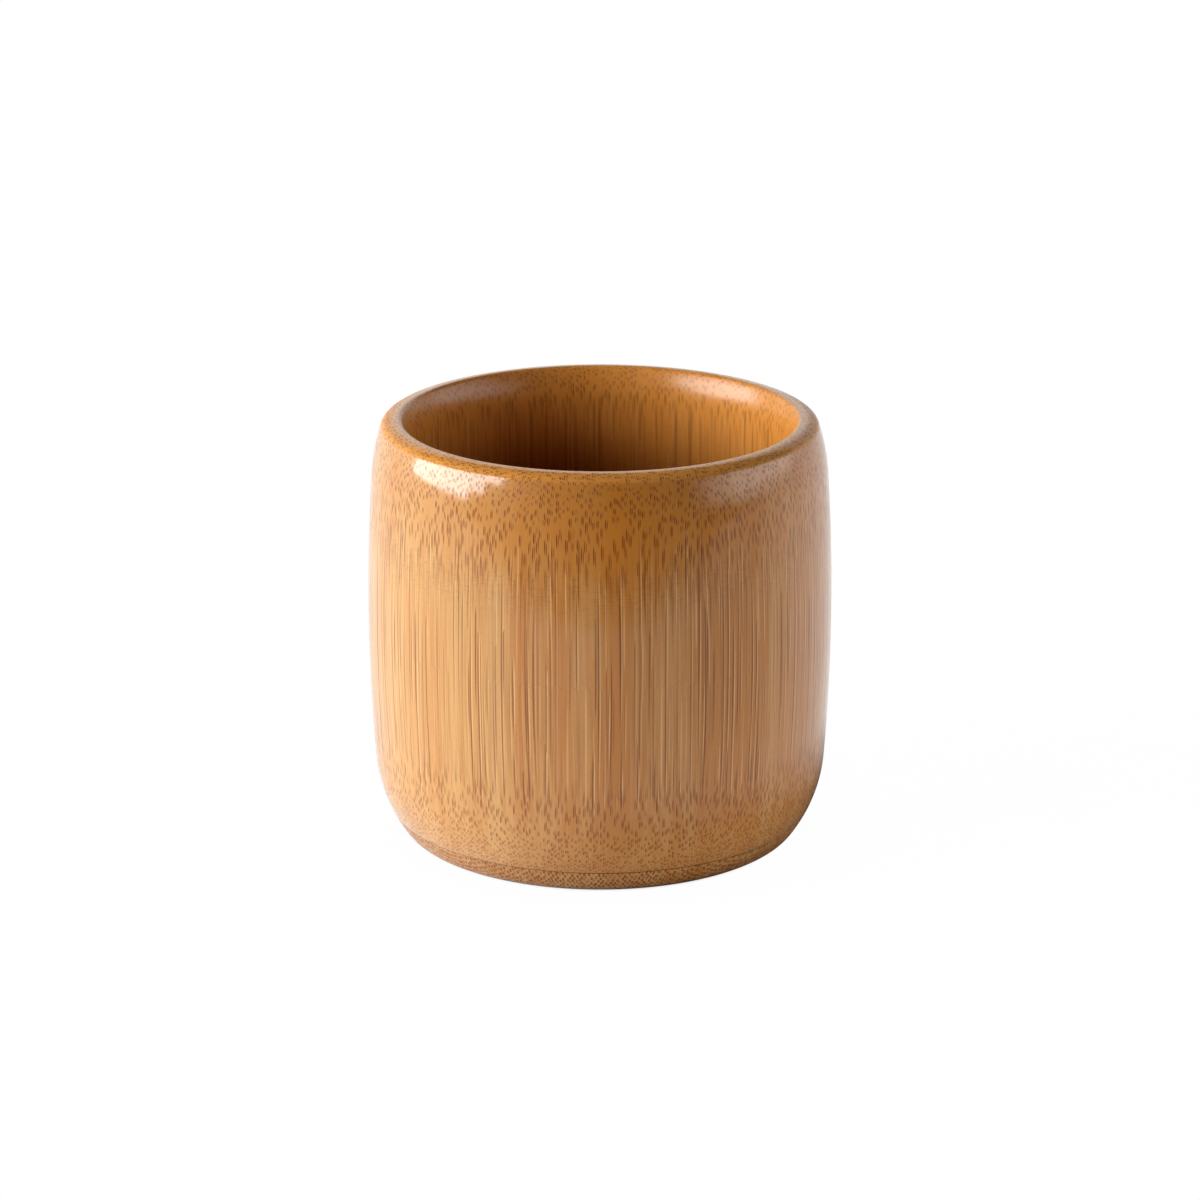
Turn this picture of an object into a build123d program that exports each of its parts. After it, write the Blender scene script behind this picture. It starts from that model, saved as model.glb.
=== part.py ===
from build123d import *
import math
import os
from collections import namedtuple

# A barrel-shaped drinking cup of bamboo. Its wall is a ring of upright staves glued edge to edge.
# The ring stands on a base board of edge-glued strips, whose raised middle plugs the wall's bore.
# The outside is turned in one pass over wall and base, so the joint between them is a hairline.
# Millimetres, +Z up. The origin is on the resting plane, at the centre of the base.

# Outside of the cup, as turned. An inset is how far inside the belly's circle another circle lies.
height = 73.7
belly_radius = 40.0
belly_level = 38.5
belly_curve = 350.0
bilge_curve = 23.6
foot_inset = 8.0
foot_curve = 3.3

# Rim of the cup. The wall starts to turn in at a drop below the crest.
crest_inset = 5.6
crown_curve = 5.2
brow_curve = 1.6
shoulder_drop = 9.5
shoulder_curve = 33.0
lip_curve = 0.8

# Inside of the cup
floor_level = 7.4
bore_inset = 7.6
flare_curve = 12.0

# Joint between wall and base
seam_level = 4.4
glue_gap = 0.1
seam_ease = 0.12

# Staves of the wall
stave_count = 9
first_joint_angle = -65.0

# Strips of the base board, which run along Y
strip_count = 5

# Sizes that follow the belly. Before turning, the base board is a blank as wide as the belly.
foot_radius = belly_radius - foot_inset
crest_radius = belly_radius - crest_inset
bore_radius = belly_radius - bore_inset
strip_width = 2 * belly_radius / strip_count

# A circle of the half section: its centre's distance from the cup's axis, its level and its radius
Ring = namedtuple("Ring", "x z radius")


def nested_ring(large, other, radius):
    """Circle of the given radius, tangent inside the large circle and to the other one, on the upper side."""
    to_large = large.radius - radius
    to_other = abs(other.radius - radius)
    span = math.hypot(other.x - large.x, other.z - large.z)
    along = (to_large**2 - to_other**2 + span**2) / (2 * span)
    aside = math.sqrt(to_large**2 - along**2)
    ux = (other.x - large.x) / span
    uz = (other.z - large.z) / span
    return Ring(large.x + along * ux - aside * uz, large.z + along * uz + aside * ux, radius)


def ring_inside(large, level, radius):
    """Circle of the given radius that touches the large circle from inside, where that one is at a level."""
    turn = math.asin((level - large.z) / large.radius)
    reach = large.radius - radius
    return Ring(large.x + reach * math.cos(turn), large.z + reach * math.sin(turn), radius)


def bearing(ring, point):
    """Angle of a point as seen from a circle's centre, in degrees from +X."""
    return math.degrees(math.atan2(point[1] - ring.z, point[0] - ring.x))


def at(ring, angle):
    """Point of a circle at an angle in degrees from +X."""
    turn = math.radians(angle)
    return ring.x + ring.radius * math.cos(turn), ring.z + ring.radius * math.sin(turn)


def touch(a, b):
    """Point where two nested circles touch."""
    large, small = (a, b) if a.radius > b.radius else (b, a)
    return at(large, bearing(large, (small.x, small.z)))


def sweep(ring, start, end):
    """Arc of a circle from one of its points to another."""
    middle = (bearing(ring, start) + bearing(ring, end)) / 2
    return ThreePointArc(start, at(ring, middle), end)


def outside_section():
    """Half section of the cup as a solid block, from its axis out to the turned outside."""
    belly = Ring(belly_radius - belly_curve, belly_level, belly_curve)
    foot = Ring(foot_radius, foot_curve, foot_curve)
    crown = Ring(crest_radius, height - crown_curve, crown_curve)
    bilge = nested_ring(belly, foot, bilge_curve)
    shoulder = ring_inside(belly, height - shoulder_drop, shoulder_curve)
    brow = nested_ring(shoulder, crown, brow_curve)

    heel = (foot_radius, 0)
    foot_end = touch(foot, bilge)
    bilge_end = touch(bilge, belly)
    belly_end = touch(belly, shoulder)
    shoulder_end = touch(shoulder, brow)
    brow_end = touch(brow, crown)
    crest = (crest_radius, height)
    outline = [
        Line((0, 0), heel),
        sweep(foot, heel, foot_end),
        sweep(bilge, foot_end, bilge_end),
        sweep(belly, bilge_end, belly_end),
        sweep(shoulder, belly_end, shoulder_end),
        sweep(brow, shoulder_end, brow_end),
        sweep(crown, brow_end, crest),
        Line(crest, (0, height)),
        Line((0, height), (0, 0)),
    ]
    return make_face(outline)


def bore_section():
    """Half section of the space in the wall: a straight bore, which the base plugs, a flare and a rounded lip."""
    lip = Ring(crest_radius, height - lip_curve, lip_curve)
    flare_x = bore_radius + flare_curve
    flare_drop = math.sqrt((flare_curve - lip_curve)**2 - (flare_x - lip.x)**2)
    flare = Ring(flare_x, lip.z - flare_drop, flare_curve)
    throat = (bore_radius, flare.z)
    mouth = touch(flare, lip)
    crest = (crest_radius, height)
    outline = [
        Line((0, seam_level), (bore_radius, seam_level)),
        Line((bore_radius, seam_level), throat),
        sweep(flare, throat, mouth),
        sweep(lip, mouth, crest),
        Line(crest, (0, height)),
        Line((0, height), (0, seam_level)),
    ]
    return make_face(outline)


def layer(low, high, reach):
    """Rectangle of the half section between two levels, from the axis out to a reach."""
    return Pos(reach / 2, (low + high) / 2) * Rectangle(reach, high - low)


def wall_section():
    """Half section of the wall, with its lower outer corner eased."""
    wall = outside_section() & layer(seam_level, height, belly_radius)
    wall = wall - bore_section()
    corner = wall.vertices().group_by(Axis.Y)[0].sort_by(Axis.X)[-1]
    return chamfer(corner, seam_ease)


def base_section():
    """Half section of the base: the board that shows, its upper corner eased, and the spigot on it."""
    board = outside_section() & layer(0, seam_level, belly_radius)
    corner = board.vertices().group_by(Axis.Y)[-1].sort_by(Axis.X)[-1]
    board = chamfer(corner, seam_ease)
    spigot = layer(0, floor_level, bore_radius - glue_gap)
    return board + (spigot & layer(seam_level, floor_level, belly_radius))


def wall_staves():
    """The staves by name, each one an equal share of the ring between two glue joints."""
    share = 360 / stave_count
    stave = revolve(Plane.XZ * wall_section(), Axis.Z, share)
    staves = {}
    for n in range(stave_count):
        staves[f"wall_stave_{n + 1}"] = Rot(0, 0, first_joint_angle + n * share) * stave
    return staves


def base_strips():
    """The base strips by name: one turned disc, parted at the glue joints of its blank."""
    disc = revolve(Plane.XZ * base_section(), Axis.Z, 360)
    strip = Box(strip_width, 2 * belly_radius, floor_level)
    strips = {}
    for n in range(strip_count):
        middle = (n + 0.5) * strip_width - belly_radius
        strips[f"base_strip_{n + 1}"] = disc & Pos(middle, 0, floor_level / 2) * strip
    return strips


def main():
    os.makedirs("parts", exist_ok=True)
    for name, piece in {**wall_staves(), **base_strips()}.items():
        export_step(piece, f"parts/{name}.step")
        print(name, round(piece.volume, 1), "cubic mm")


main()
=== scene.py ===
import math
from collections import namedtuple

import bmesh
import bpy
import numpy as np
from bpy.props import FloatProperty, FloatVectorProperty, PointerProperty
from mathutils import Matrix, Vector


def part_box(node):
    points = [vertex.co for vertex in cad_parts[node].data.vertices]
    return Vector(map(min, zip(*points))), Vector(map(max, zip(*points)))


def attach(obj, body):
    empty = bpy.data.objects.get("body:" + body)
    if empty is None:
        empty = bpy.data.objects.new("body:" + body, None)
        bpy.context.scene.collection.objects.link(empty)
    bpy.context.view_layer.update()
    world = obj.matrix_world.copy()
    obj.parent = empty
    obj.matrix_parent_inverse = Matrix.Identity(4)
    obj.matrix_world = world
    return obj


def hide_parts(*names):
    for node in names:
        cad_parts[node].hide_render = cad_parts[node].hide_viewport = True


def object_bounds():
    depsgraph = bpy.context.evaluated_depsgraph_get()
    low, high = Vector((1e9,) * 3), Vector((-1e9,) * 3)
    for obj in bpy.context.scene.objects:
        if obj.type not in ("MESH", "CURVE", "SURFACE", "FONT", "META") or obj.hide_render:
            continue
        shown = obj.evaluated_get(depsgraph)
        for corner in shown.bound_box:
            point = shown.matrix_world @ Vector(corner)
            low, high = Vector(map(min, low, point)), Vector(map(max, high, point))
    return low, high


bl_info = {
    "name": "Turned Bamboo Cup",
    "version": (1, 0, 0),
    "blender": (4, 5, 0),
    "location": "View3D > Sidebar > Cup",
    "description": "A lacquered cup of glued bamboo staves on an end-grain base, in a small studio",
    "category": "Object",
}

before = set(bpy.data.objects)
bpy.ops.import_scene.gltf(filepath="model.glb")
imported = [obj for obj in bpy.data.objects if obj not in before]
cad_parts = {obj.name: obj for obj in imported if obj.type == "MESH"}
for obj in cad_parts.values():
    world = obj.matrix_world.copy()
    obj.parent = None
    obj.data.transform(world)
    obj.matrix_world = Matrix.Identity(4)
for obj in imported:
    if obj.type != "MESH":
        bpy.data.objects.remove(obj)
CAD_LOW, CAD_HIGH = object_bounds()

MM = 0.001
BODY = "root"
STAVES = sorted(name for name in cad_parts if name.startswith("wall_stave"))
STRIPS = sorted(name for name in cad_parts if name.startswith("base_strip"))


def node_points(name):
    """The corners of a frame node as rows of x, y and z."""
    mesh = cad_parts[name].data
    flat = np.empty(3 * len(mesh.vertices))
    mesh.vertices.foreach_get("co", flat)
    return flat.reshape(-1, 3)


def widest_radius():
    """Distance from the axis to the outermost corner of the staves, to a tenth of a millimetre."""
    corners = np.concatenate([node_points(name) for name in STAVES])
    return round(float(np.hypot(corners[:, 0], corners[:, 1]).max()), 4)


def length(name, description, default):
    """A length that the sidebar shows in the scene's units."""
    return FloatProperty(name=name, description=description, default=default, unit="LENGTH", precision=4)


def amount(name, description, default):
    """A plain number that isn't negative."""
    return FloatProperty(name=name, description=description, default=default, min=0.0, precision=3)


def colour(name, description, red, green, blue):
    """A colour, written as screen values from 0 to 255 and kept as linear light."""
    screen = np.array([red, green, blue]) / 255
    linear = np.where(screen <= 0.04045, screen / 12.92, ((screen + 0.055) / 1.055) ** 2.4)
    return FloatVectorProperty(name=name, description=description, default=linear.tolist(), subtype="COLOR",
                               min=0.0, max=1.0)


class CupShape(bpy.types.PropertyGroup):
    """Sizes of the turned section. An inset is how far inside the belly another circle lies."""

    height: length("Height", "Level of the rim's crest", CAD_HIGH.z)
    belly_radius: length("Belly radius", "Radius of the widest circle", widest_radius())
    belly_level: length("Belly level", "Level of the widest circle", 38.5 * MM)
    belly_curve: length("Belly curve", "Radius of the long curve up the wall", 350 * MM)
    bilge_curve: length("Bilge curve", "Radius of the round between wall and foot", 23.6 * MM)
    foot_inset: length("Foot inset", "Inset of the flat foot's edge", 8 * MM)
    foot_curve: length("Foot curve", "Radius of the foot's edge", 3.3 * MM)
    crest_inset: length("Crest inset", "Inset of the rim's crest", 5.6 * MM)
    crown_curve: length("Crown curve", "Radius of the rim's top", 5.2 * MM)
    brow_curve: length("Brow curve", "Radius of the rim's outer edge", 1.6 * MM)
    shoulder_drop: length("Shoulder drop", "How far below the crest the wall starts to turn in", 9.5 * MM)
    shoulder_curve: length("Shoulder curve", "Radius of the wall above that", 33 * MM)
    lip_curve: length("Lip curve", "Radius of the rim's inner edge", 0.8 * MM)
    bore_inset: length("Bore inset", "Inset of the straight bore", 7.6 * MM)
    flare_curve: length("Flare curve", "Radius of the bore's flare below the lip", 12 * MM)
    floor_level: length("Floor level", "Level of the inside floor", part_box(STRIPS[0])[1].z)
    seam_level: length("Seam level", "Level of the joint between wall and base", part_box(STAVES[0])[0].z)
    seam_ease: length("Seam ease", "Bevel of the wall's edge at the seam", 0.12 * MM)
    joint_ease: length("Joint ease", "Depth of the fine groove at a glued stave joint", 0.02 * MM)
    joint_width: length("Joint width", "Half width of that groove", 0.12 * MM)
    base_ease: length("Base ease", "Bevel of the base's edge at the seam", 0.03 * MM)
    glue_gap: length("Glue gap", "Gap round the base's spigot", 0.1 * MM)


class BambooFinish(bpy.types.PropertyGroup):
    """Colours and grain of the lacquered bamboo."""

    straw: colour("Straw", "Pale ground between the fibre bundles", 213, 163, 102)
    honey: colour("Honey", "Darker ground", 194, 126, 60)
    amber: colour("Amber", "Ground near the rim", 200, 122, 38)
    gold: colour("Gold", "Ground of the rim's crown and the flare inside", 240, 160, 68)
    # Sheath also paints shade deep inside the bore
    sheath: colour("Sheath", "Vessels and dark fibres", 120, 54, 8)
    # Painted shade: the dark umber that deepens down the bore inside
    painted_deep_shade: colour("Umber", "Ground deep inside", 66, 24, 2)
    # Painted highlight colour: the pale line beside each vessel and streak, and along the rim's crest
    painted_glint: colour("Glint", "Pale fibres beside a vessel", 238, 192, 132)
    # Glue also paints shade in the seam's gap and under the foot's bottom edge
    glue: colour("Glue", "Line of a glued joint", 76, 38, 15)
    pitch: length("Bundle pitch", "Distance between fibre bundles", 0.92 * MM)


class StudioSetup(bpy.types.PropertyGroup):
    """Camera, lamps and floor."""

    camera_distance: length("Camera distance", "Level distance from the axis to the camera", 662.7 * MM)
    camera_height: length("Camera height", "Height of the camera above the floor", 254.5 * MM)
    camera_pitch: FloatProperty(name="Camera pitch", description="How far the camera looks down",
                                default=math.radians(17.88), subtype="ANGLE")
    camera_lens: amount("Camera lens", "Focal length in millimetres on a 36 mm sensor", 120.75)
    key_glow: amount("Key glow", "Brightness of the long softbox on the left", 11.3)
    fill_glow: amount("Fill glow", "Brightness of the pale card on the right", 1.95)
    roof_glow: amount("Roof glow", "Brightness of the wide sheet overhead", 0.15)
    paper_glow: amount("Paper glow", "Brightness of the overhead lamp that lights only the paper", 12.5)
    room_light: amount("Room light", "Brightness of the room round the studio", 0.03)
    contact_near: length("Contact near", "Reach where the contact shadow starts to fade", 32.2 * MM)
    contact_far: length("Contact far", "Reach where the contact shadow ends", 33.6 * MM)
    floor_white: amount("Floor white", "Share of plain white in the paper that the camera sees", 0.985)
    gloss_front: amount("Gloss front", "Brightness of the floor in front, as gloss shows it", 0.6)
    sweep_front: length("Sweep front", "How far the paper reaches in front of the cup", 0.22)
    sweep_back: length("Sweep back", "How far behind the cup the backdrop stands", 1.3)
    sweep_height: length("Sweep height", "Height of the backdrop", 1.05)
    sweep_side: length("Sweep side", "Half width of the paper", 1.6)
    sweep_bend: length("Sweep bend", "Radius between floor and backdrop", 0.35)
    hood_front: length("Hood front", "How far in front of the cup the dark hood stands", 0.85)
    hood_height: length("Hood height", "Height of the dark hood", 1.8)
    hood_side: length("Hood side", "Half width of the dark hood", 2.4)


Ring = namedtuple("Ring", "x z radius")

# How the fibres lie in the wall, in millimetres. They run straight between two levels. Above those, below
# them and inside, the turned cut crosses them. The layers of the stalk bow across a stave.
STRAIGHT_FROM = 22
STRAIGHT_TO = 46
RIM_CUT = 0.00012
HEEL_CUT = 0.009
FLARE_CUT = 2.0
FLARE_REACH = 5.0
RING_BOW = 0.005

# How many times finer the fibre bundles are in each part of the wall. On the crown the cut is steeper than
# the slope here.
UPPER_FINE = 1.4
LOWER_FINE = 1.6
CROWN_FINE = 1.0
INNER_FINE = 1.2
CROWN_SLOPE = 0.8

# Where the amber near the rim starts, how far up it grows, how much lower it hangs in a stave's middle, and
# its share inside
AMBER_FROM = 51
AMBER_RUN = 10
AMBER_SAG = 0.03
INNER_AMBER = 0.95

# How finely the pieces are divided, and the turn past which an edge is sharp
STAVE_COLUMNS = 56
STRIP_COLUMNS = 48
SHARP_EDGE = math.radians(30)

# The softbox on the left: the lower front corner of its plane, the way its long side runs, the way it
# faces, and its panels, each from a start to an end along that side and from a low to a high edge above
# that corner
KEY_CORNER = Vector((-0.561, -0.511, 0.07))
KEY_ALONG = Vector((-0.673, 0.739, 0))
KEY_FACING = Vector((0.739, 0.673, 0))
Panel = namedtuple("Panel", "start end low high")
KEY_PANELS = {
    "key_softbox": Panel(0.27, 1.30, 0.03, 0.46),
    "key_corner": Panel(0.15, 0.27, 0.09, 0.46),
    "key_tip": Panel(0.03, 0.15, 0.18, 0.46),
}

# A stave's own look: how pale its ground is, its share of amber near the rim, how dark its joints are, and
# how many times finer than the plain pitch its fibre bundles are
Tone = namedtuple("Tone", "pale amber joint fine")
STAVE_TONES = (
    Tone(0.20, 0.35, 0.40, 1.15),
    Tone(0.20, 0.60, 0.10, 1.20),
    Tone(0.75, 0.90, 0.10, 1.05),
    Tone(0.45, 0.60, 0.15, 1.20),
    Tone(0.10, 0.80, 0.10, 1.10),
    Tone(0.30, 0.70, 0.10, 1.00),
    Tone(0.80, 0.20, 0.10, 1.15),
    Tone(0.75, 0.65, 0.08, 1.15),
    Tone(0.05, 1.00, 0.08, 1.00),
)


def nested_ring(large, other, radius):
    """Circle of the given radius, tangent inside the large circle and to the other one, on the upper side.
    Its centre lies at the difference of the radii from both centres."""
    to_large = large.radius - radius
    to_other = abs(other.radius - radius)
    span = math.hypot(other.x - large.x, other.z - large.z)
    along = (to_large**2 - to_other**2 + span**2) / (2 * span)
    aside = math.sqrt(to_large**2 - along**2)
    ux = (other.x - large.x) / span
    uz = (other.z - large.z) / span
    return Ring(large.x + along * ux - aside * uz, large.z + along * uz + aside * ux, radius)


def ring_inside(large, level, radius):
    """Circle of the given radius that touches the large circle from inside, at a level of the large one."""
    turn = math.asin((level - large.z) / large.radius)
    reach = large.radius - radius
    return Ring(large.x + reach * math.cos(turn), large.z + reach * math.sin(turn), radius)


def touch_angle(a, b):
    """Angle, from the axis outwards, of the point where two nested circles touch."""
    large, small = (a, b) if a.radius > b.radius else (b, a)
    return math.atan2(small.z - large.z, small.x - large.x)


def arc(ring, start, end, step):
    """Points of a circle from one angle to another, about a step apart, as rows of radius and level."""
    count = max(3, math.ceil(abs(end - start) * ring.radius / step))
    turn = np.linspace(start, end, count + 1)
    return np.stack([ring.x + ring.radius * np.cos(turn), ring.z + ring.radius * np.sin(turn)], axis=1)


def line(start, end, step):
    """Points of a straight stretch, about a step apart, as rows of radius and level."""
    count = max(1, math.ceil(math.dist(start, end) / step))
    return np.linspace(start, end, count + 1)


def outside_path(shape):
    """The turned outside from the foot's edge to the crest: arcs of foot, bilge, belly, shoulder, brow and
    crown, each one tangent to the next."""
    belly = Ring(shape.belly_radius - shape.belly_curve, shape.belly_level, shape.belly_curve)
    foot = Ring(shape.belly_radius - shape.foot_inset, shape.foot_curve, shape.foot_curve)
    crest_radius = shape.belly_radius - shape.crest_inset
    crown = Ring(crest_radius, shape.height - shape.crown_curve, shape.crown_curve)
    bilge = nested_ring(belly, foot, shape.bilge_curve)
    shoulder = ring_inside(belly, shape.height - shape.shoulder_drop, shape.shoulder_curve)
    brow = nested_ring(shoulder, crown, shape.brow_curve)
    down, up = -math.pi / 2, math.pi / 2
    heel, waist = touch_angle(foot, bilge), touch_angle(bilge, belly)
    neck, edge, cap = touch_angle(belly, shoulder), touch_angle(shoulder, brow), touch_angle(brow, crown)
    arcs = [
        arc(foot, down, heel, 0.2 * MM),
        arc(bilge, heel, waist, 0.5 * MM)[1:],
        arc(belly, waist, neck, 0.7 * MM)[1:],
        arc(shoulder, neck, edge, 0.35 * MM)[1:],
        arc(brow, edge, cap, 0.1 * MM)[1:],
        arc(crown, cap, up, 0.2 * MM)[1:],
    ]
    return np.concatenate(arcs)


def inside_path(shape):
    """The turned inside from the crest to the seam: arcs of lip and flare, and a straight bore."""
    lip = Ring(shape.belly_radius - shape.crest_inset, shape.height - shape.lip_curve, shape.lip_curve)
    bore = shape.belly_radius - shape.bore_inset
    flare_x = bore + shape.flare_curve
    flare_drop = math.sqrt((shape.flare_curve - shape.lip_curve)**2 - (flare_x - lip.x)**2)
    flare = Ring(flare_x, lip.z - flare_drop, shape.flare_curve)
    mouth = touch_angle(flare, lip)
    arcs = [
        arc(lip, math.pi / 2, mouth, 0.08 * MM)[1:],
        arc(flare, mouth, math.pi, 0.3 * MM)[1:],
        line((bore, flare.z), (bore, shape.seam_level), 1 * MM)[1:],
    ]
    return np.concatenate(arcs)


def wall_loop(shape):
    """Closed half section of the wall, from the seam up the outside and down the inside, and the number of
    the crest's row."""
    path = outside_path(shape)
    eased = shape.seam_level + shape.seam_ease
    radius_at = np.interp([shape.seam_level, eased], path[:, 1], path[:, 0])
    edge = np.array([[radius_at[0] - shape.seam_ease, shape.seam_level], [radius_at[1], eased]])
    outside = np.concatenate([edge, path[path[:, 1] > eased]])
    return np.concatenate([outside, inside_path(shape)]), len(outside) - 1


def base_path(shape):
    """Half section of the base in two parts: from the middle of the foot, round the outside, to the seam's
    edge, and from there over the spigot to the middle of the inside floor."""
    path = outside_path(shape)
    eased = shape.seam_level - shape.base_ease
    radius_at = np.interp([eased, shape.seam_level], path[:, 1], path[:, 0])
    spigot = shape.belly_radius - shape.bore_inset - shape.glue_gap
    lower = np.concatenate([[[0, 0]], path[path[:, 1] < eased], [[radius_at[0], eased]]])
    upper = np.array([
        [radius_at[1] - shape.base_ease, shape.seam_level],
        [spigot, shape.seam_level],
        [spigot, shape.floor_level],
        [0, shape.floor_level],
    ])
    return lower, upper


def grid_quads(rows, columns):
    """Corner numbers of the quads of a grid whose rows close into a loop."""
    here = np.arange(rows)[:, None] * columns + np.arange(columns - 1)
    above = (np.arange(rows)[:, None] + 1) % rows * columns + np.arange(columns - 1)
    return np.stack([here, here + 1, above + 1, above], axis=-1).reshape(-1, 4)


def capped_quads(rows, columns):
    """Corner numbers of a closed piece: such a grid, with one face over its first and its last column."""
    first = np.arange(rows)[::-1] * columns
    last = np.arange(rows) * columns + columns - 1
    return grid_quads(rows, columns).tolist() + [first.tolist(), last.tolist()]


def cut_depth(loop, crest):
    """How deep each row of the wall's section cuts into a stave, beside its plain distance from the belly,
    in millimetres. The fibres flare with the cup's barrel shape, so towards the rim the cut crosses them
    with the cube, and towards the heel with the square, of the distance from the straight middle. Inside,
    it crosses them only near the lip, as an exponential that dies away down the wall."""
    level = loop[:, 1] / MM
    rise = np.clip(level - STRAIGHT_TO, 0, None)
    fall = np.clip(STRAIGHT_FROM - level, 0, None)
    outside = RIM_CUT * rise**3 + HEEL_CUT * fall**2
    inside = outside[crest] + FLARE_CUT * (1 - np.exp((level - level[crest]) / FLARE_REACH))
    return np.where(np.arange(len(loop)) <= crest, outside, inside)


def store(mesh, name, vectors):
    """Writes a vector for each corner of a mesh as a named attribute."""
    attribute = mesh.attributes.new(name, "FLOAT_VECTOR", "POINT")
    attribute.data.foreach_set("vector", vectors.astype(np.float32).ravel())


def new_piece(name, node, material, places, faces):
    """A smooth mesh piece that stands for one frame node and rides with the cup."""
    mesh = bpy.data.meshes.new(name)
    mesh.from_pydata(places.tolist(), [], faces)
    mesh.materials.append(material)
    piece = bpy.data.objects.new(name, mesh)
    bpy.context.scene.collection.objects.link(piece)
    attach(piece, BODY)
    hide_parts(node)
    return piece


def smooth(mesh):
    """Shades a mesh smooth, apart from its sharp edges."""
    mesh.polygons.foreach_set("use_smooth", np.ones(len(mesh.polygons), bool))
    mesh.set_sharp_from_angle(angle=SHARP_EDGE)
    mesh.update()


def neighbours(number):
    """Tones of the stave before, of the stave itself and of the one after, round the ring."""
    return [STAVE_TONES[(number + k) % len(STAVE_TONES)] for k in (-2, -1, 0)]


def matched_tone(number, share):
    """Paleness and amber of a stave over the share of its width from -1 to 1. Staves are picked to match,
    so the tone runs from half way to one neighbour, through the stave's own, to half way to the other."""
    last, own, following = neighbours(number)
    tones = [[(last[k] + own[k]) / 2, own[k], (own[k] + following[k]) / 2] for k in (0, 1)]
    return [np.interp(share, [-1, 0, 1], tone) for tone in tones]


def grain_layers(shape, number, turn, half):
    """What the grain's material reads at the corners of a stave. grain is the place in the stave: across,
    deep into and along it. bundle is the first two at the bundles' own scale, and whether the corner is
    inside. cut is how steeply the cut crosses the fibres, the share of amber and the paleness."""
    loop, crest = wall_loop(shape)
    radius, level = loop[:, :1], loop[:, 1:]
    inner = (np.arange(len(loop)) > crest)[:, None]
    side = radius * np.sin(turn) / MM
    row_depth = (shape.belly_radius - loop[:, 0]) / MM + cut_depth(loop, crest)
    run = np.concatenate([[0], np.cumsum(np.hypot(*np.diff(loop, axis=0).T))]) / MM
    slope = np.abs(np.gradient(row_depth, run))[:, None]
    depth = row_depth[:, None] - RING_BOW * side**2
    along = level / MM
    spread = np.where(level > shape.belly_level, UPPER_FINE, LOWER_FINE)
    spread = np.where(slope > CROWN_SLOPE, CROWN_FINE, spread)
    spread = STAVE_TONES[number - 1].fine * np.where(inner, INNER_FINE, spread)
    rise = np.clip((along - AMBER_FROM - AMBER_SAG * side**2) / AMBER_RUN, 0, 1)
    pale, amber_share = matched_tone(number, turn / half)
    amber = np.where(inner, INNER_AMBER, amber_share * rise**2 * (3 - 2 * rise))
    apart = 90 * number
    return {
        "grain": (side + apart, depth, along),
        "bundle": (side * spread + apart, depth * spread, inner),
        "cut": (slope, amber, pale),
    }


def stave_piece(shape, number, node, material):
    """One stave: the wall's section carried round the axis from joint to joint, as
    (r cos t, r sin t, z), with r drawn in by a fine groove at the two joints."""
    loop, crest = wall_loop(shape)
    corners = node_points(node)
    middle = math.atan2(corners[:, 1].mean(), corners[:, 0].mean())
    offset = (np.arctan2(corners[:, 1], corners[:, 0]) - middle + math.pi) % (2 * math.pi) - math.pi
    half = float(np.abs(offset).max())
    groove = shape.joint_width / shape.belly_radius
    between = np.linspace(-half + groove, half - groove, STAVE_COLUMNS)
    turn = np.concatenate([[-half, -half + groove / 2], between, [half - groove / 2, half]])
    radius, level = loop[:, :1], loop[:, 1:]
    to_joint = (half - np.abs(turn)) * radius
    last, own, following = neighbours(number)
    joint = np.where(turn < 0, max(last.joint, own.joint), max(own.joint, following.joint))
    drawn_in = shape.joint_ease * joint * np.clip(1 - to_joint / shape.joint_width, 0, 1)
    outward = np.where(np.arange(len(loop)) <= crest, 1, -1)[:, None]
    reach = radius - outward * drawn_in
    places = np.stack([reach * np.cos(middle + turn), reach * np.sin(middle + turn),
                       np.broadcast_to(level, reach.shape)], axis=-1).reshape(-1, 3)
    faces = capped_quads(*reach.shape)

    piece = new_piece(f"turned_stave_{number}", node, material, places, faces)
    layers = grain_layers(shape, number, turn, half)
    layers["glue"] = (to_joint / MM, joint, 0)
    for name, values in layers.items():
        whole = [np.broadcast_to(value, reach.shape) for value in values]
        store(piece.data, name, np.stack(whole, axis=-1).reshape(-1, 3))
    smooth(piece.data)
    return piece


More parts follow.
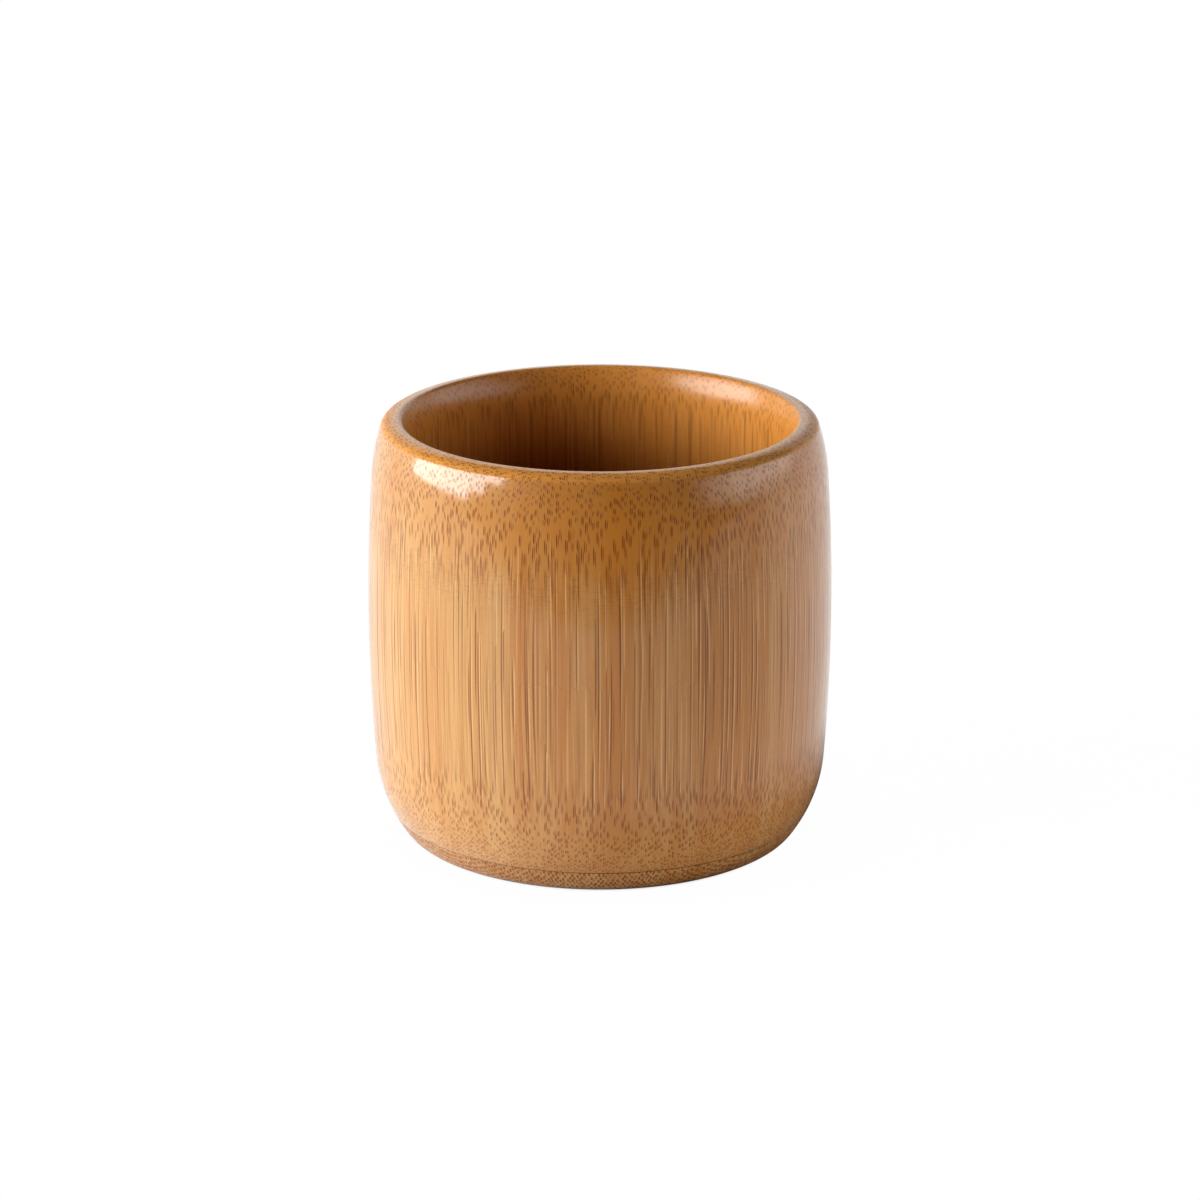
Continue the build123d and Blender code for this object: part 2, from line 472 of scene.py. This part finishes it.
def strip_piece(shape, number, node, material):
    """One strip of the base: at each x between its joints, the turned disc's section as the closed curve
    y = -sqrt(r^2 - x^2) up the front and y = +sqrt(r^2 - x^2) down the back. Rows of the section that lie
    inside x close up on the middle line, at the level where the disc begins there."""
    lower, upper = base_path(shape)
    low, high = (corner.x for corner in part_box(node))
    widest = lower[-1, 0]
    start, end = np.arcsin(np.clip([low / widest, high / widest], -1, 1))
    x = widest * np.sin(np.linspace(start, end, STRIP_COLUMNS))[:, None]
    path = np.concatenate([lower, upper])
    is_upper = np.arange(len(path)) >= len(lower)
    floor = np.interp(np.abs(x), lower[:, 0], lower[:, 1])
    roof = np.interp(np.abs(x), upper[::-1, 0], upper[::-1, 1])
    closed = path[:, 0] < np.abs(x)
    y = np.sqrt(np.clip(path[:, 0]**2 - x**2, 0, None))
    z = np.where(closed, np.where(is_upper, roof, floor), path[:, 1])
    x = np.broadcast_to(x, y.shape)
    front = np.stack([x, -y, z], axis=-1)
    back = np.stack([x, y, z], axis=-1)[:, ::-1]
    section = np.concatenate([front, back], axis=1)
    columns, rows = section.shape[:2]
    places = section.transpose(1, 0, 2).reshape(-1, 3)
    faces = capped_quads(rows, columns)

    piece = new_piece(f"turned_base_strip_{number}", node, material, places, faces)
    whole = bmesh.new()
    whole.from_mesh(piece.data)
    bmesh.ops.remove_doubles(whole, verts=whole.verts, dist=0.0001 * MM)
    bmesh.ops.recalc_face_normals(whole, faces=whole.faces)
    whole.to_mesh(piece.data)
    whole.free()
    smooth(piece.data)
    return piece


class Nodes:
    """Short words for the shader nodes of one new material or world."""

    def __init__(self, owner):
        owner.use_nodes = True
        self.owner = owner
        self.tree = owner.node_tree
        self.tree.nodes.clear()

    def new(self, kind, options=None, **inputs):
        """Adds a node, sets its options, and fills its inputs with a number, a colour or an output."""
        node = self.tree.nodes.new("ShaderNode" + kind)
        for key, value in (options or {}).items():
            setattr(node, key, value)
        for key, value in inputs.items():
            self.fill(node.inputs[key.replace("_", " ")], value)
        return node

    def fill(self, socket, value):
        """Links an output to an input, or sets the input's own value."""
        if isinstance(value, bpy.types.NodeSocket):
            self.tree.links.new(value, socket)
        elif socket.type == "RGBA" and len(value) == 3:
            socket.default_value = (*value, 1)
        else:
            socket.default_value = value

    def maths(self, operation, *values, clamp=False):
        """One step of arithmetic on numbers."""
        node = self.new("Math", {"operation": operation, "use_clamp": clamp})
        for socket, value in zip(node.inputs, values):
            self.fill(socket, value)
        return node.outputs[0]

    def times(self, *values):
        """The product of some numbers."""
        product = values[0]
        for value in values[1:]:
            product = self.maths("MULTIPLY", product, value)
        return product

    def linear(self, value, factor, offset):
        """A number times a factor, plus an offset."""
        return self.maths("MULTIPLY_ADD", value, factor, offset)

    def split(self, vector):
        """The three numbers of a vector."""
        return self.new("SeparateXYZ", Vector=vector).outputs

    def join(self, x, y, z):
        """A vector of three numbers."""
        return self.new("CombineXYZ", X=x, Y=y, Z=z).outputs[0]

    def scaled(self, vector, factors):
        """A vector times another, number by number."""
        node = self.new("VectorMath", {"operation": "MULTIPLY"})
        self.fill(node.inputs[0], vector)
        self.fill(node.inputs[1], factors)
        return node.outputs[0]

    def noise(self, vector, detail=2.0, roughness=0.5):
        """Smooth noise from 0 to 1, with one lump for each unit of the vector."""
        return self.new("TexNoise", Vector=vector, Scale=1.0, Detail=detail, Roughness=roughness).outputs

    def ease(self, value, low, high, start=0.0, end=1.0):
        """A smooth step of a number from start, at low, to end, at high."""
        node = self.new("MapRange", {"interpolation_type": "SMOOTHSTEP"})
        for socket, number in zip(node.inputs, (value, low, high, start, end)):
            self.fill(socket, number)
        return node.outputs[0]

    def blend(self, share, first, second):
        """Two colours mixed by a share."""
        node = self.new("Mix", {"data_type": "RGBA"})
        for place, value in zip((0, 6, 7), (share, first, second)):
            self.fill(node.inputs[place], value)
        return node.outputs[2]

    def attribute(self, name):
        """The three numbers that a piece stores at its corners under a name."""
        return self.split(self.new("Attribute", {"attribute_name": name}).outputs["Vector"])

    def reach(self, x, y):
        """Distance of a point in the plane from the origin."""
        return self.new("VectorMath", {"operation": "LENGTH"}, Vector=self.join(x, y, 0.0)).outputs["Value"]

    def nearest(self, x, y, jitter):
        """A jittered grid of points, one for each unit square. Gives the offset from the nearest one, and
        three chances of its own."""
        cell = self.join(x, y, 0.0)
        flat = {"voronoi_dimensions": "2D"}
        grid = self.new("TexVoronoi", flat, Vector=cell, Scale=1.0, Randomness=jitter)
        offset = self.new("VectorMath", {"operation": "SUBTRACT"})
        self.fill(offset.inputs[0], cell)
        self.fill(offset.inputs[1], grid.outputs["Position"])
        return self.split(offset.outputs[0]), self.split(grid.outputs["Color"])

    def finish(self, shader, kind="OutputMaterial"):
        """Joins a shader to the output and gives the material or world."""
        self.new(kind, Surface=shader).is_active_output = True
        return self.owner


def bundle_marks(n, across, depth, pitch):
    """Marks of the fibre bundles that the cut meets. A jittered, skewed grid in the plane across the fibres
    holds one bundle a cell: a pair of slim vessels side by side in a faint sheath, with a pale painted
    highlight beside them, where light would catch the pore's edge. Gives the shares of vessel, sheath and
    painted highlight."""
    skew = 0.5
    column = n.times(across, 1 / pitch)
    row = n.linear(column, skew, n.times(depth, 1 / pitch))
    offset, chances = n.nearest(column, row, jitter=0.6)
    side = n.times(offset[0], pitch)
    deep = n.linear(side, -skew, n.times(offset[1], pitch))
    size = n.ease(chances[0], 0.0, 1.0, 0.75, 1.3)
    kept = n.ease(chances[1], 0.12, 0.27)
    lean = n.linear(chances[2], 0.12, -0.06)

    def spot(dx, dy, wide, high, soft):
        x = n.linear(side, 1 / wide, -dx / wide)
        y = n.times(n.maths("SUBTRACT", deep, dy), 1 / high)
        return n.ease(n.reach(x, y), n.maths("ADD", size, soft), n.maths("SUBTRACT", size, soft))

    left = spot(dx=-0.2, dy=lean, wide=0.09, high=0.24, soft=0.2)
    right = spot(dx=0.2, dy=n.times(lean, -1.0), wide=0.075, high=0.20, soft=0.2)
    vessels = n.maths("MAXIMUM", left, n.times(right, 0.8))
    sheath = spot(dx=0.0, dy=0.0, wide=0.38, high=0.32, soft=0.4)
    # Painted highlight beside the vessels, where light would catch the pore's edge
    fibres = spot(dx=0.40, dy=0.0, wide=0.10, high=0.16, soft=0.4)
    return [n.times(share, kept) for share in (vessels, sheath, fibres)]


def streak_lines(n, across, along, wide, tall):
    """Lines where the cut runs along the fibres. A jittered grid of tall cells on the surface holds one
    line a cell, a slim dark spindle with a pale painted highlight beside it, where light would catch the
    groove's edge. Gives the shares of dark and painted highlight."""
    offset, chances = n.nearest(n.times(across, 1 / wide), n.times(along, 1 / tall), jitter=0.9)
    side = n.times(offset[0], wide)
    half_length = n.ease(chances[0], 0.0, 1.0, 0.25 * tall, 0.6 * tall)
    up = n.maths("DIVIDE", n.times(offset[1], tall), half_length)

    def spindle(dx, half_width, chance):
        x = n.linear(side, 1 / half_width, -dx / half_width)
        return n.times(n.ease(n.reach(x, up), 1.2, 0.7), n.ease(chance, 0.1, 0.7))

    dark = spindle(dx=0.0, half_width=0.14, chance=chances[1])
    # Painted highlight beside the dark spindle
    pale = spindle(dx=0.24, half_width=0.12, chance=chances[2])
    return dark, pale


def lacquered(n, ground, bare, height, satin):
    """A satin clear coat over bamboo, with the grain as a shallow relief. A share of the wood is bare."""
    relief = n.new("Bump", Strength=1.0, Distance=0.02 * MM, Height=height).outputs[0]
    return n.new("BsdfPrincipled", **{
        "Base_Color": ground, "Roughness": 0.55, "Normal": relief, "Specular_IOR_Level": 0.05,
        "Coat_Weight": n.maths("SUBTRACT", 1.0, bare), "Coat_Roughness": satin, "Coat_IOR": 1.5,
        "Coat_Normal": relief,
    }).outputs[0]


def wall_bamboo(finish, shape):
    """Bamboo of the staves. The pattern lives in the plane across the fibres (across, depth) and hardly
    changes along them, so the turned cut itself makes long streaks, dashes and dots of it. Levels along the
    wall are in millimetres above the foot."""
    n = Nodes(bpy.data.materials.new("wall_bamboo"))
    seam = shape.seam_level / MM
    top = shape.height / MM
    grain = n.new("Attribute", {"attribute_name": "grain"}).outputs["Vector"]
    across, _, along = n.split(grain)
    bundle_across, bundle_depth, inner = n.attribute("bundle")
    cross, amber, pale = n.attribute("cut")
    to_joint, joint, _ = n.attribute("glue")
    crown = n.times(n.ease(cross, 0.5, 0.9), n.ease(along, 58.0, 66.0))
    outer_crown = n.maths("SUBTRACT", crown, inner, clamp=True)
    crest = n.ease(along, top - 0.12, top - 0.01)

    def by_side(outside, inside):
        return n.ease(inner, 0.0, 1.0, outside, inside)

    # Slow drift of the fibres, broad bands, single fibres, specks, clusters of streaks and ripples
    drift = n.split(n.noise(n.scaled(grain, (0.18, 0.25, 0.018)))["Color"])
    bands = n.noise(n.scaled(grain, (0.25, 0.12, 0.010)))["Fac"]
    fibres = n.noise(n.scaled(grain, (1.7, 0.6, 0.03)), roughness=0.65)["Fac"]
    speckle = n.noise(n.scaled(grain, (3.2, 3.2, 1.8)), roughness=0.7)["Fac"]
    clusters = n.noise(n.scaled(grain, (0.45, 0.2, 0.02)), detail=1.0)["Fac"]
    ripples = n.noise(n.scaled(grain, (0.6, 0.2, 2.6)), detail=1.0)["Fac"]

    # Ground: from honey to straw, amber near the rim, gold on the crown, painted shade deep inside
    tone = n.maths("ADD", pale, n.linear(bands, 1.6, -0.8))
    tone = n.maths("ADD", tone, n.linear(fibres, 1.2, -0.6))
    tone = n.maths("ADD", tone, n.linear(speckle, 1.0, -0.5), clamp=True)
    ground = n.blend(tone, finish.honey, finish.straw)
    # Paler towards the heel: painted sheen, standing in for the white floor's reflection there
    ground = n.blend(n.ease(along, 16.0, 7.0, 0.0, 0.3), ground, finish.straw)
    pale_outside = n.maths("SUBTRACT", pale, inner, clamp=True)
    warm = n.blend(n.times(pale_outside, 0.5), finish.amber, finish.straw)
    warm = n.blend(n.times(inner, n.ease(along, 44.0, 64.0, 0.0, 0.6)), warm, finish.gold)
    ground = n.blend(n.times(amber, n.ease(speckle, 0.35, 0.65, 1.0, 0.75)), ground, warm)
    ground = n.blend(n.times(outer_crown, 0.8), ground, finish.gold)
    # Painted highlight: a pale line along the crest, standing in for the backdrop's reflection at the lip
    ground = n.blend(n.times(crest, 0.25), ground, finish.painted_glint)
    # Painted shade deep inside: the bore darkens with depth, first towards sheath and then towards umber,
    # less on pale staves
    deep = n.times(n.ease(along, 68.0, 48.0), inner, n.maths("SUBTRACT", 1.0, pale))
    ground = n.blend(deep, ground, finish.sheath)
    ground = n.blend(n.times(deep, 0.4), ground, finish.painted_deep_shade)
    ground = n.blend(n.ease(speckle, 0.5, 0.75, 0.0, 0.16), ground, finish.sheath)

    # Streaks where the cut runs along the fibres, in clusters that end at different levels
    streak_across = n.linear(drift[0], 0.8, n.times(across, by_side(1.0, 0.45)))
    fine = streak_lines(n, streak_across, along, wide=0.9, tall=24.0)
    long = streak_lines(n, n.maths("ADD", streak_across, 37.0), along, wide=1.4, tall=55.0)
    lengthwise = n.ease(n.maths("ADD", cross, n.linear(clusters, -0.4, 0.2)), 0.17, 0.05)
    lengthwise = n.times(lengthwise, n.ease(clusters, 0.35, 0.6, 0.45, 1.0), by_side(1.0, 0.5))
    dark_lines = n.times(n.maths("MAXIMUM", fine[0], long[0]), lengthwise)
    # The pale lines beside the dark ones are painted highlight
    painted_highlight_lines = n.times(n.maths("MAXIMUM", fine[1], long[1]), lengthwise)
    ground = n.blend(n.times(painted_highlight_lines, by_side(0.6, 0.2)), ground, finish.painted_glint)
    ground = n.blend(n.times(dark_lines, 0.75), ground, finish.sheath)

    # Faint level ripples that the turning tool left below the shoulder
    chatter = n.times(n.ease(along, 48.0, 53.0), n.ease(along, 61.0, 56.0))
    ground = n.blend(n.times(n.ease(ripples, 0.5, 0.65, 0.0, 0.12), chatter), ground, finish.sheath)

    # Bundles where the cut crosses the fibres
    vessels, sheath, painted_highlights = bundle_marks(n, n.linear(drift[0], 0.8, bundle_across),
                                           n.linear(drift[1], 0.9, bundle_depth), finish.pitch / MM)
    # Painted highlight beside each bundle's vessels
    ground = n.blend(n.times(painted_highlights, 0.15), ground, finish.painted_glint)
    ground = n.blend(n.times(sheath, 0.12), ground, finish.sheath)
    mark = n.times(vessels, n.ease(cross, 0.015, 0.15), by_side(1.0, 0.6))
    # Fewer marks on the crest keep the painted highlight there pale
    mark = n.times(mark, n.ease(along, 25.0, 45.0, 0.9, 1.0), n.ease(crest, 0.0, 1.0, 1.0, 0.6))
    ground = n.blend(mark, ground, finish.sheath)

    # Glue lines at the stave joints, broken here and there, and a dark line at the seam, partly glue and
    # partly painted shade in its gap
    broken = n.ease(n.noise(n.scaled(grain, (0.02, 0.0, 0.45)))["Fac"], 0.3, 0.6, 0.35, 1.0)
    broken = n.times(broken, n.ease(along, 44.0, 60.0, 0.35, 1.0))
    ground = n.blend(n.times(joint, broken, n.ease(to_joint, 0.15, 0.04)), ground, finish.glue)
    ground = n.blend(n.ease(along, seam + 0.24, seam + 0.10, 0.0, 0.75), ground, finish.glue)

    # Relief, and where the coat has sunk in: open grain, the inside, and the crown up to its crest
    open_grain = n.maths("MAXIMUM", mark, n.times(dark_lines, 0.5))
    relief = n.linear(fibres, 0.2, n.times(open_grain, -0.7))
    relief = n.linear(speckle, 0.12, relief)
    bare_inside = n.times(inner, n.ease(along, 64.0, 54.0, 0.3, 1.0))
    bare = n.maths("MAXIMUM", n.times(open_grain, 0.3), bare_inside)
    bare = n.maths("MAXIMUM", bare, n.times(outer_crown, 0.55))
    bare = n.times(bare, n.ease(along, top - 0.3, top - 0.01, 1.0, 0.0))
    return n.finish(lacquered(n, ground, bare, relief, by_side(0.12, 0.24)))


def base_bamboo(finish):
    """Bamboo of the base strips, whose fibres stand upright: a diamond lattice of bundles on end grain,
    seen on the foot, the inside floor and, stretched by the slope, round the heel."""
    n = Nodes(bpy.data.materials.new("base_bamboo"))
    place = n.new("TexCoord").outputs["Object"]
    x, y, z = n.split(n.scaled(place, (1 / MM, 1 / MM, 1 / MM)))
    bundles_per_mm = 1.25
    first = n.times(n.maths("ADD", x, y), bundles_per_mm)
    second = n.times(n.maths("SUBTRACT", x, y), bundles_per_mm)
    offset, chances = n.nearest(first, second, jitter=0.38)
    reach = n.reach(offset[0], offset[1])
    core = n.times(n.ease(reach, 0.02, 0.14), n.ease(reach, 0.44, 0.28))
    dark = n.times(core, n.ease(chances[0], 0.0, 0.6, 0.5, 1.0))
    patches = n.noise(n.scaled(place, (300, 300, 60)), detail=3.0)["Fac"]
    speckle = n.noise(n.scaled(place, (3000, 3000, 2000)), roughness=0.7)["Fac"]
    tone = n.maths("ADD", n.ease(patches, 0.3, 0.7, 0.2, 0.8), n.linear(speckle, 0.8, -0.3), clamp=True)
    ground = n.blend(tone, finish.honey, finish.straw)
    ground = n.blend(n.times(dark, 0.85), ground, finish.sheath)
    # Painted shade: the foot's bottom edge darkens in the glue colour, where the foot turns under
    ground = n.blend(n.ease(z, 1.1, 0.45, 0.0, 0.85), ground, finish.glue)
    return n.finish(lacquered(n, ground, n.linear(dark, 0.3, 0.4), n.times(dark, -0.4), 0.15))


def floor_paper(studio):
    """Plain white paper. The camera sees it mixed with even white, so the cup's shadow stays. Gloss on the
    cup sees the white alone, dimmed close to the cup's shaded side and in front of it."""
    n = Nodes(bpy.data.materials.new("floor_paper"))
    path = n.new("LightPath").outputs
    x, y, _ = n.split(n.new("TexCoord").outputs["Object"])
    reach = n.reach(x, y)
    white = studio.floor_white
    clear = n.ease(reach, studio.contact_near, studio.contact_far, 0.6 * white, white)
    seen = n.maths("MAXIMUM", path["Is Camera Ray"], path["Is Transmission Ray"])
    white_share = n.maths("MAXIMUM", n.times(seen, clear), path["Is Glossy Ray"])
    shade = n.times(n.ease(reach, 0.08, 0.045, 0.0, 0.95), n.ease(x, -0.03, 0.015))
    front = n.times(n.ease(x, -0.05, 0.02), n.ease(y, 0.03, -0.06))
    front = n.times(front, n.ease(reach, 0.05, 0.12, 0.0, 1.0 - studio.gloss_front))
    shine = n.maths("SUBTRACT", n.maths("SUBTRACT", 1.0, shade), front)
    paper = n.new("BsdfDiffuse", Color=(0.86, 0.86, 0.86), Roughness=1.0).outputs[0]
    even = n.new("Emission", Color=(1, 1, 1), Strength=n.maths("MAXIMUM", seen, shine)).outputs[0]
    mixed = n.new("MixShader")
    for socket, value in zip(mixed.inputs, (white_share, paper, even)):
        n.fill(socket, value)
    return n.finish(mixed.outputs[0])


def add_softbox(name, glow, place, aim, long_side, size, fade=None):
    """A rectangular area lamp of an even brightness at a place, facing a point, with its first side along
    a given direction. Its power is the brightness times pi times its area. It may fade as a smooth step
    towards both ends, its bottom and its top, over three given shares of its sides."""
    lamp = bpy.data.lights.new(name, "AREA")
    lamp.shape = "RECTANGLE"
    lamp.size, lamp.size_y = size
    lamp.energy = math.pi * glow * size[0] * size[1]
    back = (Vector(place) - Vector(aim)).normalized()
    along = (Vector(long_side) - back * back.dot(Vector(long_side))).normalized()
    turned = Matrix((along, back.cross(along), back)).transposed().to_4x4()
    box = bpy.data.objects.new(name, lamp)
    box.matrix_world = Matrix.Translation(place) @ turned
    bpy.context.scene.collection.objects.link(box)
    if fade:
        ends, bottom, top = fade
        n = Nodes(lamp)
        level, up, _ = n.split(n.new("NewGeometry").outputs["Parametric"])
        sideways = n.times(n.ease(level, 0.0, ends), n.ease(level, 1.0, 1.0 - ends))
        upright = n.times(n.ease(up, 0.0, bottom), n.ease(up, 1.0, 1.0 - top))
        glowing = n.new("Emission", Color=(1, 1, 1), Strength=n.times(sideways, upright))
        n.finish(glowing.outputs[0], "OutputLight")
    return box


def add_key(studio):
    """The softbox on the left, which stands askew to the cup. Its front end slants up towards the camera,
    in two steps of smaller lamps beside the large one."""
    for name, panel in KEY_PANELS.items():
        upward = Vector((0, 0, (panel.low + panel.high) / 2))
        place = KEY_CORNER + KEY_ALONG * (panel.start + panel.end) / 2 + upward
        size = (panel.end - panel.start, panel.high - panel.low)
        add_softbox(name, studio.key_glow, place, place + KEY_FACING, KEY_ALONG, size)


def add_lamps(studio, height, paper):
    """The key softbox, a soft-edged fill card on the right, a dim sheet overhead, and a lamp that lights
    only the paper, so that its bounce reaches the cup from below."""
    add_key(studio)
    add_softbox("fill_card", studio.fill_glow, place=(0.75, -0.06, 0.27), aim=(0, 0, 0.5 * height),
                long_side=(0, 1, 0), size=(1.35, 0.5), fade=(0.3, 0.3, 0.5))
    add_softbox("roof_sheet", studio.roof_glow, place=(0, 0.2, 1.4), aim=(0, 0.2, 0),
                long_side=(1, 0, 0), size=(2.0, 2.0))
    bounce = add_softbox("paper_lamp", studio.paper_glow, place=(0, 0.1, 1.6), aim=(0, 0.1, 0),
                         long_side=(1, 0, 0), size=(0.7, 0.7))
    lit = bpy.data.collections.new("lit_paper")
    lit.objects.link(paper)
    bounce.light_linking.receiver_collection = lit


def studio_room(studio):
    """The room round the studio: white to the camera and to gloss, and dim as a light."""
    n = Nodes(bpy.data.worlds.new("studio_room"))
    path = n.new("LightPath").outputs
    gloss = n.maths("ADD", path["Is Glossy Ray"], path["Is Transmission Ray"])
    seen = n.maths("ADD", path["Is Camera Ray"], gloss, clamp=True)
    strength = n.linear(seen, 1 - studio.room_light, studio.room_light)
    return n.finish(n.new("Background", Color=(1, 1, 1), Strength=strength).outputs[0], "OutputWorld")


def studio_camera(studio):
    """The camera in front of the cup, which looks down at it."""
    lens = bpy.data.cameras.new("studio_camera")
    lens.lens = studio.camera_lens
    lens.sensor_width = 36
    camera = bpy.data.objects.new("studio_camera", lens)
    camera.location = (0, -studio.camera_distance, studio.camera_height)
    camera.rotation_euler = (math.pi / 2 - studio.camera_pitch, 0, 0)
    bpy.context.scene.collection.objects.link(camera)
    return camera


def stage_sheet(name, x, y, z, material):
    """A sheet of the stage: the profile of y and z carried along x."""
    places = np.stack(np.broadcast_arrays(x, y[:, None], z[:, None]), axis=-1).reshape(-1, 3)
    open_quads = grid_quads(len(y), len(x))[:(len(y) - 1) * (len(x) - 1)]
    mesh = bpy.data.meshes.new(name)
    mesh.from_pydata(places.tolist(), [], open_quads.tolist())
    mesh.materials.append(material)
    sheet = bpy.data.objects.new(name, mesh)
    bpy.context.scene.collection.objects.link(sheet)
    return sheet


def sweep_piece(studio):
    """The paper sweep: a level floor that turns up behind the cup through a quarter circle into a backdrop,
    the same profile at every x."""
    bend = studio.sweep_bend
    turn = np.linspace(0, math.pi / 2, 25)
    round_y = studio.sweep_back - bend + bend * np.sin(turn)
    y = np.concatenate([[-studio.sweep_front], round_y, [studio.sweep_back]])
    z = np.concatenate([[0], bend - bend * np.cos(turn), [studio.sweep_height]])
    x = np.linspace(-studio.sweep_side, studio.sweep_side, 5)
    return stage_sheet("studio_sweep", x, y, z, floor_paper(studio))


def hood_piece(studio):
    """The dark hood: a wall in front of the cup that turns through a quarter circle into a roof and through
    another down to the backdrop's top, the same profile at every x. It keeps gloss on the cup dark, and the
    camera doesn't see it."""
    under_floor = -1 * MM
    behind_backdrop = 10 * MM
    bend = 0.35 * studio.hood_height
    front = bend - studio.hood_front
    back = studio.sweep_back + behind_backdrop - bend
    shoulder = studio.hood_height - bend
    turn = np.linspace(0, math.pi / 2, 13)
    y = np.concatenate([[-studio.sweep_front, front - bend], front - bend * np.cos(turn),
                        back + bend * np.sin(turn), [back + bend]])
    z = np.concatenate([[under_floor, under_floor], shoulder + bend * np.sin(turn),
                        shoulder + bend * np.cos(turn), [studio.sweep_height]])
    x = np.linspace(-studio.hood_side, studio.hood_side, 5)
    n = Nodes(bpy.data.materials.new("dark_felt"))
    nap = n.noise(n.scaled(n.new("TexCoord").outputs["Object"], (400, 400, 400)))["Fac"]
    felt = n.blend(nap, (0.010, 0.010, 0.010), (0.022, 0.022, 0.022))
    material = n.finish(n.new("BsdfDiffuse", Color=felt, Roughness=1.0).outputs[0])
    hood = stage_sheet("dark_hood", x, y, z, material)
    hood.visible_camera = False
    return hood


class CUP_OT_turn_wall(bpy.types.Operator):
    """Turns the ring of glued staves and gives it its grain"""

    bl_idname = "cup.turn_wall"
    bl_label = "Turn the Wall"

    def execute(self, context):
        material = wall_bamboo(context.scene.cup_bamboo, context.scene.cup_shape)
        for number, node in enumerate(STAVES, 1):
            stave_piece(context.scene.cup_shape, number, node, material)
        return {"FINISHED"}


class CUP_OT_lay_base(bpy.types.Operator):
    """Turns the strips of the base and gives them their end grain"""

    bl_idname = "cup.lay_base"
    bl_label = "Lay the Base"

    def execute(self, context):
        material = base_bamboo(context.scene.cup_bamboo)
        for number, node in enumerate(STRIPS, 1):
            strip_piece(context.scene.cup_shape, number, node, material)
        return {"FINISHED"}


class CUP_OT_set_studio(bpy.types.Operator):
    """Lays the floor and sets the lamps, the room and the camera"""

    bl_idname = "cup.set_studio"
    bl_label = "Set the Studio"

    def execute(self, context):
        scene = context.scene
        studio = scene.cup_studio
        paper = sweep_piece(studio)
        hood_piece(studio)
        add_lamps(studio, scene.cup_shape.height, paper)
        scene.world = studio_room(studio)
        scene.camera = studio_camera(studio)
        scene.view_settings.view_transform = "Standard"
        return {"FINISHED"}


class CUP_PT_sidebar(bpy.types.Panel):
    """Lists the steps that build the cup"""

    bl_idname = "CUP_PT_sidebar"
    bl_label = "Turned Bamboo Cup"
    bl_space_type = "VIEW_3D"
    bl_region_type = "UI"
    bl_category = "Cup"

    def draw(self, context):
        for step in STEPS:
            self.layout.operator(step.bl_idname)
        for group in ("cup_shape", "cup_bamboo", "cup_studio"):
            settings = getattr(context.scene, group)
            column = self.layout.column()
            for field in settings.bl_rna.properties.keys():
                if field not in ("rna_type", "name"):
                    column.prop(settings, field)


STEPS = (CUP_OT_turn_wall, CUP_OT_lay_base, CUP_OT_set_studio)
CLASSES = (CupShape, BambooFinish, StudioSetup, *STEPS, CUP_PT_sidebar)


def register():
    for kind in CLASSES:
        bpy.utils.register_class(kind)
    bpy.types.Scene.cup_shape = PointerProperty(type=CupShape)
    bpy.types.Scene.cup_bamboo = PointerProperty(type=BambooFinish)
    bpy.types.Scene.cup_studio = PointerProperty(type=StudioSetup)


def unregister():
    del bpy.types.Scene.cup_studio
    del bpy.types.Scene.cup_bamboo
    del bpy.types.Scene.cup_shape
    for kind in reversed(CLASSES):
        bpy.utils.unregister_class(kind)


def main():
    """Builds the cup and its studio."""
    register()
    bpy.ops.cup.turn_wall()
    bpy.ops.cup.lay_base()
    bpy.ops.cup.set_studio()


if __name__ == "__main__":
    main()
